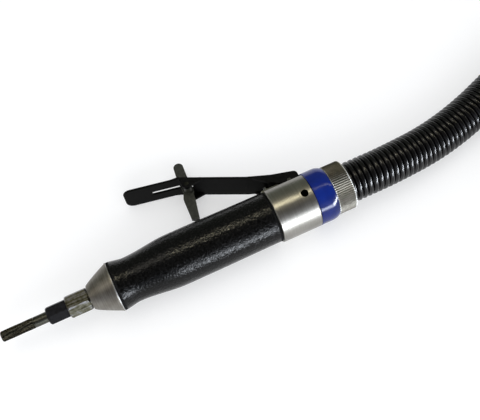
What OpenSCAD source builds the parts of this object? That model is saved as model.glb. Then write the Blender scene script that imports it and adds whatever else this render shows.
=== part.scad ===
// Air-driven straight grinder with a lever throttle, a lock-off lever and a ribbed exhaust hose.
// It lies on its side, with the lever pointing along +Y and the burr towards -X.
// Every piece is modelled upright first: X runs rearward along the tool's axis from the seam
// between the nose cone and the grip, and Z points at the lever.
// The piece that takes the most skill is the pressed throttle lever with its slotted tongue,
// pivot ears and hinge flanges, and the profiled lock-off lever that folds into its slot.

/* [Burr and collet] */
// Diameter of the burr's head and shank
burr_d = 6; // [3:0.5:8]
// Length of the fluted head
burr_head_l = 18.5; // [10:0.5:25]
// Whole length of the burr
burr_l = 50; // [40:1:60]
// Number of flutes on the head
flute_count = 16; // [6:1:18]
// Depth of a flute
flute_depth = 0.4; // [0.2:0.1:0.8]
// Twist of the flutes along the head, in degrees
flute_twist = 40; // [20:5:120]
// Length of the head and shank that stand out of the collet
burr_out_l = 26.5; // [22:0.5:35]
// Width across flats of the collet's hexagon
collet_af = 9.5; // [8.5:0.5:11]
// Length of the collet's hexagon
collet_head_l = 11.4; // [8:0.2:18]
// Length of the collet's slotted tail
collet_tail_l = 15.7; // [12:0.5:18]
// Diameter of the collet's tail
collet_tail_d = 8.4; // [8:0.1:8.6]

/* [Spindle] */
// Width across flats of the spindle's hexagon
spindle_af = 12; // [10.6:0.2:13]
// Length of the spindle's hexagon
spindle_hex_l = 12.5; // [8:0.5:16]
// Turn of the spindle's and the collet's hexagons, in degrees
hex_turn = 5; // [0:1:30]
// Gap between the hexagon and the nose cone
spindle_gap = 0.5; // [0.3:0.1:1]
// Diameter of the spindle inside the nose cone
spindle_d = 10; // [9.6:0.1:10.8]

/* [Nose cone] */
// Length of the nose cone
cone_l = 14.7; // [12.5:0.5:20]
// Diameter of the cone's front end
cone_front_d = 14.2; // [13.6:0.2:16]
// Wall of the cone's rear rim round the motor tube
cone_rear_wall = 3.2; // [2:0.1:4]
// Width of the rim behind the cone
cone_rim_l = 0.9; // [0.5:0.1:1.5]
// Outward swell of the cone's side
cone_swell = 0.25; // [0:0.05:0.5]

/* [Grip and motor tube] */
// Length of the grip, from the cone to the valve housing
grip_l = 95.3; // [92:0.5:110]
// Wall of the grip at its waist
waist_wall = 1.85; // [1.25:0.05:3]
// Wall of the grip at its belly
belly_wall = 4.1; // [3:0.1:4.5]
// Wall of the grip at its rear end
rear_wall = 3.8; // [2.5:0.1:4.5]
// Outside diameter of the motor tube
tube_d = 22; // [21.6:0.2:23]
// Wall of the motor tube
tube_wall = 1.48; // [1:0.02:1.6]

/* [Motor] */
// Least gap between the rotor and the liner
rotor_gap = 0.05; // [0.05:0.05:0.6]
// Length of the rotor's body
rotor_l = 49; // [35:0.5:49.5]
// Number of vanes
vane_count = 4; // [3:1:6]
// Thickness of a vane
vane_t = 1.4; // [1:0.1:2]
// Mean wall of the liner, with its fit in the motor tube
liner_wall = 2.12; // [2:0.02:2.2]
// Offset of the liner's bore from the tool's axis
liner_offset = 0.75; // [0.5:0.05:0.75]

/* [Bearings] */
// Bore of the ball bearings
bearing_bore = 8; // [7:0.5:8]
// Fit of the ball bearings in the motor tube
bearing_fit = 0.02; // [0.02:0.02:0.2]
// Width of the ball bearings
bearing_w = 6; // [5:0.5:6]
// Diameter of a ball
ball_d = 2.7; // [2.2:0.1:2.8]
// Number of balls in a bearing
ball_count = 7; // [5:1:9]

/* [Valve housing] */
// Diameter of the valve housing
housing_d = 31.6; // [31.4:0.1:34]
// Length of the valve housing between the grip and the colour ring
housing_l = 23.6; // [23:0.2:30]
// Diameter of the spanner hole in the side
spanner_hole_d = 4.2; // [2:0.1:5]
// Depth of the spanner hole
spanner_hole_depth = 5; // [1:0.1:6]
// Distance of the spanner hole from the housing's rear edge
spanner_hole_back = 4.6; // [3:0.1:8]
// Turn of the spanner hole from the side away from the lever, in degrees
spanner_hole_turn = 13; // [0:1:60]

/* [Rear fittings] */
// Length of the colour ring
ring_l = 11.8; // [9:0.2:14]
// Diameter of the colour ring at its front
ring_front_d = 31.5; // [30:0.1:31.5]
// Diameter of the colour ring at its rear
ring_rear_d = 29.2; // [29:0.1:30]
// Length of the knurled sleeve
sleeve_l = 10.9; // [8:0.1:14]
// Wall of the knurled sleeve round the hose
sleeve_wall = 2.2; // [1.8:0.1:2.3]
// Number of grooves in the knurl
knurl_count = 72; // [36:6:90]
// Depth of a knurl groove
knurl_depth = 0.35; // [0.1:0.05:0.5]

/* [Throttle lever] */
// Width of the lever
lever_w = 16.4; // [16:0.1:19]
// Width of the tongue
tongue_w = 14.8; // [13:0.1:16]
// Thickness of the lever's sheet
lever_t = 1.5; // [1:0.1:1.5]
// Length of the tongue in front of the bend
tongue_l = 33; // [30:0.5:40]
// Rise of the tongue, in degrees
tongue_angle = 11.6; // [8:0.2:14]
// Length of the main run
main_l = 39.9; // [39:0.1:42]
// Rise of the main run, in degrees
main_angle = 27.8; // [26:0.2:29]
// Length of the run over the valve
shoulder_l = 14.4; // [14:0.1:15]
// Rise of the run over the valve, in degrees
shoulder_angle = 22.5; // [21:0.5:24]
// Length of the heel run over the hinge
heel_l = 14.4; // [14:0.1:15]
// Rise of the heel run, in degrees
heel_angle = 16.2; // [15:0.2:18]
// Height of the heel's upper edge above the axis
heel_z = 16.9; // [16.8:0.1:18]
// Corner radius of the tongue's free end
tongue_corner = 4.6; // [2:0.2:6]
// Corner radius of the heel
heel_corner = 2.4; // [1:0.1:3]
// Width of the slot
slot_w = 3.2; // [3:0.1:6]

/* [Lever hinge] */
// Distance of the hinge from the housing's rear edge
hinge_back = 6.4; // [6:0.1:7]
// Height of the hinge above the axis
hinge_z = 12.9; // [12.8:0.1:13.1]
// Diameter of the hinge pin and the lock-off pin
pin_d = 2.5; // [1.6:0.1:2.6]

/* [Lock-off lever] */
// Distance of the lock-off pivot in front of the housing's rear edge
lock_ahead = 59.4; // [59:0.1:60]
// Drop of the lock-off pivot below the lever's sheet
lock_drop = 3.2; // [3.1:0.1:3.6]
// Thickness of the lock-off lever
lock_t = 2.4; // [2:0.1:2.6]
// Height of the thumb tab above the pivot
tab_h = 20.6; // [18:0.2:24]
// Gap between the leg's foot and the grip
foot_gap = 2.5; // [2.4:0.1:6]
// Fold of the lock-off lever, in degrees
lock_fold = 69; // [60:1:70]

/* [Hose and far end] */
// Outside diameter of the ribbed exhaust hose
hose_d = 23.8; // [22:0.1:24]
// Bore of the ribbed exhaust hose
hose_bore = 19; // [14:0.2:20]
// Distance between two ribs
rib_pitch = 2.7; // [2.4:0.1:6]
// Depth of the grooves between the ribs
rib_depth = 1.2; // [0.5:0.1:1.6]
// Outside diameter of the supply hose
supply_d = 12; // [10:0.2:13]
// Bore of the supply hose
supply_bore = 7; // [6:0.2:8]
// Radius at which the put-away coil begins
coil_r = 144; // [142:1:150]
// Diameter of the plug's coupling body
plug_body_d = 11.8; // [10:0.1:13]
// Diameter of the plug's nose
plug_nose_d = 7.9; // [6:0.1:9]

/* [Hidden] */
$fn = 96;

// Shared clearances and overruns
over = 1;
fit_gap = 0.02;
run_gap = 0.05;
seat_gap = 0.2;
free_gap = 0.3;

// Stations along the axis
seam_x = 0;
housing_x = grip_l;
ring_x = housing_x + housing_l;
sleeve_x = ring_x + ring_l;
sleeve_end_x = sleeve_x + sleeve_l;
cone_x = -cone_l;
hex_end_x = cone_x - spindle_gap;
hex_x = hex_end_x - spindle_hex_l;
collet_rear_x = hex_x - seat_gap;
collet_x = collet_rear_x - collet_head_l;
burr_x = collet_x - burr_out_l;

// How the tool lies: the lever's side leans down until the tongue nears the ground
lean = 8.5;
axis_h = housing_d / 2;

// Diameters that follow the motor tube, its bore and the hose
tube_r = tube_d / 2;
tube_in_r = tube_r - tube_wall;
cone_rear_d = tube_d + 2 * cone_rear_wall;
grip_waist_d = tube_d + 2 * waist_wall;
grip_belly_d = tube_d + 2 * belly_wall;
grip_rear_d = tube_d + 2 * rear_wall;
bearing_od = 2 * (tube_in_r - bearing_fit);
liner_bore_d = 2 * (tube_in_r - liner_wall);
rotor_d = liner_bore_d - 2 * (liner_offset + rotor_gap);
sleeve_d = hose_d + 2 * (free_gap + sleeve_wall);

// Motor stations
tube_front_x = -4;
bearing_front_x = -bearing_w / 2;
bearing_front_end = bearing_w / 2;
plate_t = 4;
plate_front_x = bearing_front_end + free_gap;
liner_x = plate_front_x + plate_t;
liner_l = rotor_l + 2 * free_gap;
plate_rear_x = liner_x + liner_l;
bearing_rear_x = plate_rear_x + plate_t + free_gap;
bearing_rear_end = bearing_rear_x + bearing_w;
nut_l = 3;
nut_x = bearing_rear_end + seat_gap;
washer_t = 1;
washer_x = bearing_rear_end + seat_gap;
spigot_x = washer_x + washer_t + seat_gap;
spigot_recess = nut_l + seat_gap + free_gap;
journal_r = bearing_bore / 2 - fit_gap;

// Bearing sections
pitch_r = (bearing_bore + bearing_od) / 4;
race_r = ball_d / 2 + run_gap;
inner_land_r = pitch_r - ball_d / 3;
outer_land_r = pitch_r + ball_d / 3;
cage_t = 0.6 * (outer_land_r - inner_land_r);
cage_w = 4.2;
cage_turn_ratio = (1 - ball_d / (2 * pitch_r)) / 2;

// Hinge and lever outline, as points of its upper surface
hinge_x = ring_x - hinge_back;
heel_x = ring_x - free_gap;
function ahead(p, l, a) = [p[0] - l * cos(a), p[1] + l * sin(a)];
heel_p = [heel_x, heel_z];
over_hinge_p = ahead(heel_p, heel_l, heel_angle);
over_valve_p = ahead(over_hinge_p, shoulder_l, shoulder_angle);
bend_p = ahead(over_valve_p, main_l, main_angle);
tongue_p = ahead(bend_p, tongue_l, tongue_angle);
function below(p, a, t) = [p[0] + t * sin(-a), p[1] - t * cos(a)];
flange_r = 2.7;
ear_r = 3;
ear_l = 9;
lock_x = ring_x - lock_ahead;
lock_z = bend_p[1] - (lock_x - bend_p[0]) * tan(main_angle) - lever_t / cos(main_angle) - lock_drop;
leg_h = lock_z - grip_belly_d / 2 - foot_gap;
slot_back = 3.7;
slot_x = lock_x + slot_back;
tab_clearance = 0.7;
slot_reach = tab_h * sin(lock_fold) + tab_clearance;
slot_l = slot_reach + slot_back;
lug_gap = 0.4;
lug_half_w = lever_w / 2 - lever_t - lug_gap;
shoulder_z = hinge_z - flange_r - free_gap;
lug_flat_z = heel_z - lever_t / cos(heel_angle) - free_gap;

// Valve sizes
stem_back = 12.3;
stem_x = hinge_x - stem_back;
stem_d = 3.6;
valve_bore_d = 7;
valve_bore_z = -9;
gland_z = 9;
gland_top_z = 15.2;
seat_z = 1.9;
seat_t = 2;
seat_bore_d = 4.8;
head_d = 5.8;
head_t = 2;
neck_d = 2.2;
spring_wire_d = 0.7;
spring_d = 4.6;
spring_turns = 5;
stem_under_z = over_hinge_p[1] + (over_hinge_p[0] - stem_x) * tan(shoulder_angle)
    - lever_t / cos(shoulder_angle);
stem_gap = 0.25;
stem_ball_z = stem_under_z - (stem_d / 2 + stem_gap) / cos(shoulder_angle);

// Passages of the valve housing
supply_bore_d = 4.8;
supply_z = -1.2;
outlet_z = 6;
outlet_d = 3.4;
exhaust_hole_d = 2.6;
exhaust_y_share = 0.630252;
exhaust_z_share = 0.336134;
exhaust_hole_y = tube_in_r * exhaust_y_share;
exhaust_hole_z = tube_in_r * exhaust_z_share;
core_d = 24;
core_x = sleeve_x + free_gap;
o_ring_d = 1.16;
o_ring_back = 3.6;
nipple_flange_d = 10.8;
nipple_flange_l = 2;
nipple_l = 10.8;
nipple_seat = 6;

// Place of the whole part: the ground is at zero and the middle of the tool lies at the origin
tab_r = 2.9;
tab_lean = 0.6;
low_y = -axis_h;
high_y = (lock_z + tab_h) * cos(lean) + lock_t / 2 * sin(lean);
shift_x = -(burr_x + sleeve_end_x) / 2;
shift_y = -(low_y + high_y) / 2;

// Route of the exhaust hose, chosen by hand: distance behind its seat in the sleeve, sideways
// and height. It leaves straight along the axis and then comes down onto the ground.
straight_run = [0, 6, 12, 18, 24];
free_run = [[34, 0.3, 15.2], [47, 1.3, 14], [61, 2.8, 12.6], [75, 5, 12.1], [89, 8.2, 12.1],
    [103, 12.3, 12.4], [115, 16.5, 12.8], [127, 20.9, 13.2], [139, 25.3, 13.2]];
hose_route = concat([for (x = straight_run) [core_x + x, 0, axis_h]],
    [for (p = free_run) [core_x + p[0], p[1], p[2]]]);
hose_end = hose_route[len(hose_route) - 1];
coil_h = hose_end[2];
coil_pitch = 26;
coil_tuck = 4.3;
coil_tuck_angle = 35;
coil_lead_in = 50;
coil_lead_out = 24;
loop_rings = 24;
coil_steps = 40;
tie_step = 6;
tie_w = 18;
tie_t = 0.9;
// Tail of the supply hose behind the coil's end: forward, inward and height, chosen by hand
tail_route = [[-6.8, 0, 13.2], [0, 0, 13.2], [6, 0, 13.2], [14.7, 0.8, 13], [23.1, 3, 12.4],
    [31, 6.7, 11.5], [38.1, 11.7, 10.5], [44.3, 17.9, 9.5], [49.3, 25, 8.6], [53, 32.9, 7.9],
    [55.2, 41.3, 7.5], [56, 50, 7.4], [55.2, 58.7, 7.4], [53, 67.1, 7.4], [48, 80.7, 7.4]];
cuff_l = 14;
cuff_lap = 4;
cuff_wall = 0.9;
ferrule_l = 15;
ferrule_lap = 13;
ferrule_d = 14;
plug_hex_af = 12;
plug_hex_l = 7;
plug_body_l = 9;
plug_groove_l = 6;
plug_nose_l = 8;
plug_groove_d = 8.6;
plug_bore_d = 5;

// Helpers
module lay_down() {
    translate([shift_x, shift_y, axis_h]) rotate([-90 - lean, 0, 0]) children();
}
module on_ground() {
    translate([shift_x, shift_y, 0]) children();
}
module turned(points) {
    rotate([0, 90, 0]) rotate_extrude() polygon(points);
}
module rod(x, l, d) {
    translate([x, 0, 0]) rotate([0, 90, 0]) cylinder(d = d, h = l);
}
module tube_piece(x, l, d, bore) {
    difference() {
        rod(x, l, d);
        rod(x - over, l + 2 * over, bore);
    }
}
module cross_rod(x, z, w, d) {
    translate([x, w / 2, z]) rotate([90, 0, 0]) cylinder(d = d, h = w);
}
module side_plate(points, y, t) {
    translate([0, y + t, 0]) rotate([90, 0, 0]) linear_extrude(t) polygon(points);
}
function circle_points(n, r, turn = 0) = [for (i = [0:n - 1])
    [r * cos(turn + 360 * i / n), r * sin(turn + 360 * i / n)]];
function flip(list) = [for (i = [len(list) - 1:-1:0]) list[i]];
function smooth(t) = t * t * (3 - 2 * t);

// Sweep helpers: each ring stands square to the path, with one corner straight down
function unit(p) = p / norm(p);
function path_dir(p, i) = i == 0 ? unit(p[1] - p[0])
    : i == len(p) - 1 ? unit(p[i] - p[i - 1]) : unit(unit(p[i + 1] - p[i]) + unit(p[i] - p[i - 1]));
function ring_side(d) = unit(cross(d, [0, 0, 1]));
function ring_at(c, d, r, n) = [for (k = [0:n - 1]) c
    + r * sin(360 * k / n) * ring_side(d) - r * cos(360 * k / n) * cross(ring_side(d), d)];
function quads(a, b, n) = [for (k = [0:n - 1], t = [0, 1])
    t == 0 ? [a + k, b + (k + 1) % n, b + k] : [a + k, a + (k + 1) % n, b + (k + 1) % n]];
module swept(path, radii, n) {
    rings = len(path);
    points = [for (i = [0:rings - 1]) each ring_at(path[i], path_dir(path, i), radii[i], n)];
    faces = [for (i = [0:rings - 2]) each quads(i * n, (i + 1) * n, n)];
    first_cap = [for (k = [1:n - 2]) [0, k + 1, k]];
    last = (rings - 1) * n;
    last_cap = [for (k = [1:n - 2]) [last, last + k, last + k + 1]];
    polyhedron(points, concat(faces, first_cap, last_cap));
}
module swept_tube(path, radii, bore_path, bore_r, n) {
    rings = len(path);
    bores = len(bore_path);
    outer = [for (i = [0:rings - 1]) each ring_at(path[i], path_dir(path, i), radii[i], n)];
    inner = [for (i = [0:bores - 1]) each ring_at(bore_path[i], path_dir(bore_path, i), bore_r, n)];
    base = rings * n;
    outside = [for (i = [0:rings - 2]) each quads(i * n, (i + 1) * n, n)];
    inside = [for (i = [0:bores - 2]) each quads(base + (i + 1) * n, base + i * n, n)];
    front = quads(base, 0, n);
    rear = quads((rings - 1) * n, base + (bores - 1) * n, n);
    polyhedron(concat(outer, inner), concat(outside, inside, front, rear));
}
// Points spaced evenly along a route
function route_len(p, i = 0) = i >= len(p) - 1 ? 0 : norm(p[i + 1] - p[i]) + route_len(p, i + 1);
function along(p, s, i = 0) = i >= len(p) - 2 || s <= norm(p[i + 1] - p[i])
    ? p[i] + (p[i + 1] - p[i]) * s / norm(p[i + 1] - p[i]) : along(p, s - norm(p[i + 1] - p[i]), i + 1);

// Burr and collet
tooth_share = [0, 0.35, 0.8];
flute_depth_share = [0, 1, 0.7];
function flute_ring(x, r_scale) = [for (i = [0:flute_count - 1], k = [0, 1, 2])
    let (a = 360 / flute_count * (i + tooth_share[k]) + flute_twist * x / burr_head_l,
        r = r_scale * (burr_d / 2 - flute_depth * flute_depth_share[k]))
        [burr_x + x, -r * sin(a), -r * cos(a)]];
module burr() {
    tip_l = burr_d / 8;
    tip_x_shares = [0, 0.3];
    tip_r_shares = [0.66, 0.88];
    neck_l = 0.4;
    neck_r = burr_d / 2 - flute_depth - free_gap;
    rings = 12;
    n = 3 * flute_count;
    stations = concat([for (t = tip_x_shares) tip_l * t],
        [for (i = [0:rings]) tip_l + (burr_head_l - tip_l) * i / rings]);
    r_shares = concat(tip_r_shares, [for (i = [0:rings]) 1]);
    points = [for (i = [0:rings + 2]) each flute_ring(stations[i], r_shares[i])];
    last = (rings + 2) * n;
    middle = last + n;
    faces = [for (i = [0:rings + 1]) each quads(i * n, (i + 1) * n, n)];
    front = [for (k = [0:n - 1]) [middle, (k + 1) % n, k]];
    rear = [for (k = [0:n - 1]) [middle + 1, last + k, last + (k + 1) % n]];
    color("#3c3a35") lay_down() {
        polyhedron(concat(points, [[burr_x, 0, 0], [burr_x + burr_head_l, 0, 0]]),
            concat(faces, front, rear));
        rod(burr_x + burr_head_l / 2, burr_head_l / 2 + 2 * neck_l, 2 * neck_r);
        rod(burr_x + burr_head_l + neck_l, burr_l - burr_head_l - neck_l, burr_d);
    }
}

module collet() {
    corner_r = collet_af / 2 / cos(30);
    chamfer = collet_af / 8;
    bore_r = burr_d / 2 + fit_gap;
    tail_x = collet_rear_x + collet_tail_l;
    taper_l = collet_tail_l / 4;
    taper = collet_tail_d / 14;
    slit = collet_tail_d / 16;
    slit_l = collet_tail_l * 4 / 5;
    color("#17181a") lay_down() difference() {
        union() {
            intersection() {
                rotate([hex_turn, 0, 0]) translate([collet_x, 0, 0]) rotate([0, 90, 0])
                    cylinder(r = corner_r, h = collet_head_l, $fn = 6);
                turned([[0, collet_x], [corner_r - chamfer, collet_x],
                    [corner_r + over, collet_x + chamfer + over],
                    [corner_r + over, collet_rear_x], [0, collet_rear_x]]);
            }
            turned([[0, collet_rear_x - over], [collet_tail_d / 2, collet_rear_x - over],
                [collet_tail_d / 2, tail_x - taper_l], [collet_tail_d / 2 - taper, tail_x], [0, tail_x]]);
        }
        rod(collet_x - over, collet_head_l + collet_tail_l + 2 * over, 2 * bore_r);
        for (turn = [0, 90])
            rotate([turn, 0, 0])
                translate([tail_x - slit_l, -slit / 2, -corner_r])
                    cube([slit_l + over, slit, 2 * corner_r]);
    }
}

module spindle() {
    corner_r = spindle_af / 2 / cos(30);
    chamfer = spindle_af / 12;
    socket_r = collet_tail_d / 2 + fit_gap;
    socket_end = collet_rear_x + collet_tail_l + free_gap;
    taper_l = collet_tail_l / 4;
    taper = collet_tail_d / 14;
    shoulder_x = bearing_front_x - free_gap;
    end_x = liner_x - 2 * free_gap;
    screw_r = journal_r * 5 / 8;
    color("#8d8a78") lay_down() difference() {
        union() {
            intersection() {
                rotate([hex_turn, 0, 0]) translate([hex_x, 0, 0]) rotate([0, 90, 0])
                    cylinder(r = corner_r, h = spindle_hex_l, $fn = 6);
                turned([[0, hex_x], [corner_r - chamfer, hex_x], [corner_r + over, hex_x + chamfer + over],
                    [corner_r + over, hex_end_x - chamfer - over], [corner_r - chamfer, hex_end_x],
                    [0, hex_end_x]]);
            }
            rod(hex_end_x - over, shoulder_x - hex_end_x + over, spindle_d);
            rod(shoulder_x - over, end_x - shoulder_x + over, 2 * journal_r);
        }
        turned([[0, hex_x - over], [socket_r, hex_x - over], [socket_r, socket_end - taper_l],
            [socket_r - taper, socket_end], [0, socket_end]]);
        rod(bearing_front_x, end_x - bearing_front_x + over, 2 * screw_r);
    }
}

// Nose
function cone_side(t) = [cone_front_d / 2 + (cone_rear_d / 2 - free_gap - cone_front_d / 2) * t
    + cone_swell * sin(180 * t), cone_x + (cone_l - cone_rim_l) * t];
module nose_cone() {
    bore_r = spindle_d / 2 + free_gap;
    seal_r = cone_front_d / 2 - free_gap * 2;
    recess_r = tube_r + run_gap;
    boss_r = tube_in_r - run_gap;
    seal_x = cone_x + 2 * cone_rim_l;
    seal_l = cone_l / 5;
    steps = 8;
    side = [for (i = [0:steps]) cone_side(i / steps)];
    color("#b9b3a6") lay_down() difference() {
        turned(concat([[0, cone_x], [cone_front_d / 2 - free_gap, cone_x]],
            [for (i = [0:steps]) i == 0 ? [side[0][0], side[0][1] + free_gap] : side[i]],
            [[cone_rear_d / 2, -cone_rim_l], [cone_rear_d / 2, seam_x], [0, seam_x]]));
        rod(cone_x - over, cone_l + 2 * over, 2 * bore_r);
        rod(seal_x, seal_l, 2 * seal_r);
        rod(tube_front_x, -tube_front_x + over, 2 * recess_r);
    }
    // Boss inside the motor tube that carries the front bearing's outer ring
    color("#b9b3a6") lay_down() tube_piece(tube_front_x - over / 2,
        bearing_front_x - seat_gap - tube_front_x + over / 2, 2 * boss_r, 2 * bore_r);
}

module nose_seal() {
    seal_r = cone_front_d / 2 - free_gap * 2;
    seal_x = cone_x + 2 * cone_rim_l;
    seal_l = cone_l / 5;
    color("#2b2b2b") lay_down() tube_piece(seal_x + fit_gap, seal_l - 2 * fit_gap,
        2 * (seal_r - fit_gap), spindle_d + 2 * run_gap);
}

// Ball bearings
module inner_ring(x) {
    color("#c9ccd0") lay_down() difference() {
        tube_piece(x, bearing_w, 2 * inner_land_r, bearing_bore);
        translate([x + bearing_w / 2, 0, 0]) rotate([0, 90, 0])
            rotate_extrude() translate([pitch_r, 0]) circle(r = race_r, $fn = 48);
    }
}
module outer_ring(x) {
    color("#c9ccd0") lay_down() difference() {
        tube_piece(x, bearing_w, bearing_od, 2 * outer_land_r);
        translate([x + bearing_w / 2, 0, 0]) rotate([0, 90, 0])
            rotate_extrude() translate([pitch_r, 0]) circle(r = race_r, $fn = 48);
    }
}
module balls(x) {
    color("#dfe2e6") lay_down() for (i = [0:ball_count - 1])
        rotate([360 * i / ball_count, 0, 0])
            translate([x + bearing_w / 2, 0, pitch_r]) sphere(d = ball_d, $fn = 48);
}
module cage(x) {
    color("#b08d57") lay_down() difference() {
        tube_piece(x + (bearing_w - cage_w) / 2, cage_w, 2 * pitch_r + cage_t, 2 * pitch_r - cage_t);
        for (i = [0:ball_count - 1])
            rotate([360 * i / ball_count, 0, 0])
                translate([x + bearing_w / 2, 0, pitch_r]) sphere(d = ball_d + 2 * run_gap, $fn = 48);
    }
}
module front_inner_ring() { inner_ring(bearing_front_x); }
module front_outer_ring() { outer_ring(bearing_front_x); }
module front_bearing_balls() { balls(bearing_front_x); }
module front_bearing_cage() { cage(bearing_front_x); }
module rear_inner_ring() { inner_ring(bearing_rear_x); }
module rear_outer_ring() { outer_ring(bearing_rear_x); }
module rear_bearing_balls() { balls(bearing_rear_x); }
module rear_bearing_cage() { cage(bearing_rear_x); }

// Vane motor
module end_plate(x) {
    port_r = exhaust_hole_d / 2;
    color("#8f9296") lay_down() difference() {
        rod(x, plate_t, 2 * (tube_in_r - fit_gap));
        rod(x - over, plate_t + 2 * over, bearing_bore + 2 * free_gap);
        for (side = [-1, 1])
            translate([x - over, side * exhaust_hole_y, -exhaust_hole_z]) rotate([0, 90, 0])
                cylinder(r = port_r, h = plate_t + 2 * over);
    }
}
module front_end_plate() { end_plate(plate_front_x); }
module rear_end_plate() { end_plate(plate_rear_x); }

module cylinder_liner() {
    outer_r = tube_in_r - fit_gap;
    port_d = exhaust_hole_d * 3 / 4;
    groove_w = tube_d / 4;
    groove_depth = tube_wall / 3;
    ports = 6;
    color("#9a9c9e") lay_down() difference() {
        rod(liner_x, liner_l, 2 * outer_r);
        translate([0, 0, -liner_offset]) rod(liner_x - over, liner_l + 2 * over, liner_bore_d);
        translate([liner_x - over, -groove_w / 2, -outer_r - over])
            cube([liner_l + 2 * over, groove_w, groove_depth + over]);
        for (i = [1:ports])
            translate([liner_x + liner_l * i / (ports + 1), 0, -tube_r]) cylinder(d = port_d, h = tube_r);
    }
}

slot_root_r = rotor_d / 2 - rotor_d / 4;
module rotor() {
    body_x = liner_x + free_gap;
    end_x = nut_x + nut_l;
    screw_r = journal_r * 5 / 8 - fit_gap;
    slot_t = vane_t + 2 * run_gap;
    color("#77797c") lay_down() difference() {
        union() {
            rod(body_x, rotor_l, rotor_d);
            rod(bearing_front_x + free_gap, body_x - bearing_front_x, 2 * screw_r);
            rod(liner_x - free_gap, body_x - liner_x + free_gap + over, 2 * journal_r);
            rod(body_x + rotor_l - over, end_x - body_x - rotor_l + over, 2 * journal_r);
        }
        for (i = [0:vane_count - 1])
            rotate([360 * i / vane_count, 0, 0])
                translate([body_x - over, -slot_t / 2, slot_root_r])
                    cube([rotor_l + 2 * over, slot_t, rotor_d]);
    }
}

module vanes() {
    body_x = liner_x + free_gap;
    color("#6b4a2b") lay_down() for (i = [0:vane_count - 1])
        rotate([360 * i / vane_count, 0, 0])
            translate([body_x, -vane_t / 2, slot_root_r + run_gap])
                cube([rotor_l, vane_t, rotor_d / 2 - slot_root_r - 2 * run_gap]);
}

module rotor_lock_nut() {
    nut_d = bearing_bore * 11 / 8;
    color("#55585c") lay_down() difference() {
        translate([nut_x, 0, 0]) rotate([0, 90, 0]) cylinder(d = nut_d, h = nut_l, $fn = 6);
        rod(nut_x - over, nut_l + 2 * over, bearing_bore);
    }
}

module preload_washer() {
    color("#a9adb1") lay_down() tube_piece(washer_x, washer_t, 2 * (tube_in_r - 2 * fit_gap),
        2 * (tube_in_r - tube_wall));
}

module motor_tube() {
    color("#7f8286") lay_down() tube_piece(tube_front_x + seat_gap,
        housing_x - seat_gap - tube_front_x - seat_gap, 2 * tube_r, 2 * tube_in_r);
}

// Grip: flare, waist, swelling belly and a slight rear taper, as shares of its length and radii
flare_share = 0.1;
belly_share = 0.38;
band_share = 0.53;
function grip_r(t) = t < flare_share
    ? cone_rear_d / 2 - seat_gap / 2 + (grip_waist_d - cone_rear_d + seat_gap) / 2 * smooth(t / flare_share)
    : t < belly_share
    ? grip_waist_d / 2 + (grip_belly_d - grip_waist_d) / 2
        * smooth((t - flare_share) / (belly_share - flare_share))
    : t < band_share ? grip_belly_d / 2
    : grip_belly_d / 2 + (grip_rear_d - grip_belly_d) / 2 * smooth((t - band_share) / (1 - band_share));
module grip_sleeve() {
    front_x = seam_x + seat_gap;
    l = grip_l - 2 * seat_gap;
    fine = [for (i = [0:7]) flare_share * i / 8];
    rise = [for (i = [0:11]) flare_share + (belly_share - flare_share) * i / 12];
    rear = [belly_share, for (i = [0:6]) band_share + (1 - band_share) * i / 6];
    color("#1b1b1c") lay_down() difference() {
        turned(concat([[0, front_x]], [for (t = concat(fine, rise, rear)) [grip_r(t), front_x + l * t]],
            [[0, front_x + l]]));
        rod(front_x - over, l + 2 * over, 2 * (tube_r + fit_gap));
    }
}

module tube_o_ring() {
    color("#111111") lay_down() translate([housing_x - o_ring_back, 0, 0]) rotate([0, 90, 0])
        rotate_extrude() translate([tube_in_r - o_ring_d / 2 - fit_gap, 0]) circle(d = o_ring_d, $fn = 32);
}

// Valve housing: spigot, body with the hinge lug, and the core that carries the ring and sleeve
module valve_housing() {
    spigot_d = 2 * (tube_in_r - fit_gap);
    groove_w = o_ring_d + 2 * run_gap;
    groove_d = 2 * (tube_in_r - o_ring_d - 2 * fit_gap) - 2 * run_gap;
    chamfer = 0.3;
    body_r = housing_d / 2;
    hole_x = ring_x - spanner_hole_back;
    color("#a7a49b") lay_down() difference() {
        union() {
            rod(spigot_x, housing_x - spigot_x + over, spigot_d);
            turned([[0, housing_x], [body_r - chamfer, housing_x], [body_r, housing_x + chamfer],
                [body_r, ring_x - chamfer], [body_r - chamfer, ring_x], [0, ring_x]]);
            rod(ring_x - over, core_x - ring_x + over, core_d);
        }
        // Shoulders beside the lug, and the flat on top of it under the lever's heel
        for (side = [0, 1]) mirror([0, side, 0])
            translate([housing_x - over, lug_half_w, shoulder_z])
                cube([housing_l + over, body_r, body_r]);
        translate([over_hinge_p[0], -lug_half_w - over, lug_flat_z])
            cube([ring_x - over_hinge_p[0], 2 * (lug_half_w + over), body_r]);
        cross_rod(hinge_x, hinge_z, 2 * (lug_half_w + over), pin_d + 2 * fit_gap);
        translate([stem_x, 0, valve_bore_z]) cylinder(d = valve_bore_d, h = body_r - valve_bore_z + over);
        translate([0, 0, supply_z]) rod(stem_x, core_x - stem_x + over, supply_bore_d);
        translate([0, 0, outlet_z]) rod(spigot_x - over, stem_x - spigot_x + over, outlet_d);
        rod(spigot_x - over, spigot_recess + over, 2 * (tube_in_r - tube_wall));
        for (y = [-1, 1], z = [-1, 1])
            translate([0, y * exhaust_hole_y, z * exhaust_hole_z])
                rod(spigot_x - over, core_x - spigot_x + 2 * over, exhaust_hole_d);
        difference() {
            rod(housing_x - o_ring_back - groove_w / 2, groove_w, spigot_d + over);
            rod(housing_x - o_ring_back - groove_w, 2 * groove_w, groove_d);
        }
        rod(core_x - nipple_seat, nipple_seat + over, nipple_flange_d * 2 / 3 + 2 * fit_gap);
        rotate([90 + spanner_hole_turn, 0, 0]) translate([hole_x, 0, body_r - spanner_hole_depth])
            cylinder(d = spanner_hole_d, h = spanner_hole_depth + over);
    }
}

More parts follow.
